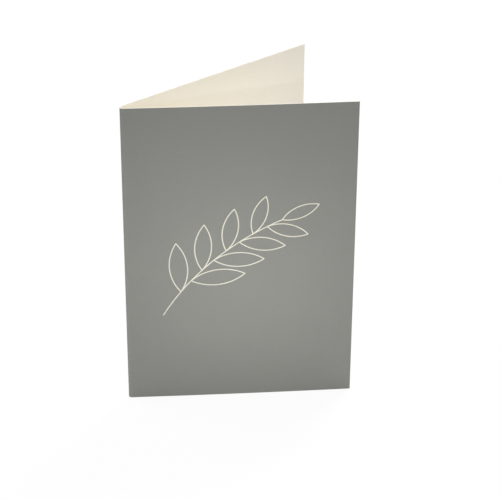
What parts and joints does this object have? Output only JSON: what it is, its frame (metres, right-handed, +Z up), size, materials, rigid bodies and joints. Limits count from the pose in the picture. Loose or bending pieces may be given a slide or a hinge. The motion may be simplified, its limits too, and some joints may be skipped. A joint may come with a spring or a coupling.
{
  "type": "greeting card",
  "caption": "Folded greeting card that stands open, grey outside and cream inside, with a line sprig of leaves pressed into its front cover.",
  "frame": {"origin": "middle of the footprint, on the surface that the card stands on", "axes": "+Z up along the fold; the front cover faces -Y and lies along X with its fold on the -X side; the back panel swings back towards +Y"},
  "size_m": [0.11, 0.0638, 0.16],
  "materials": {
    "board": "matte"
  },
  "bodies": {
    "root": {"card": "board"}
  },
  "joints": []
}
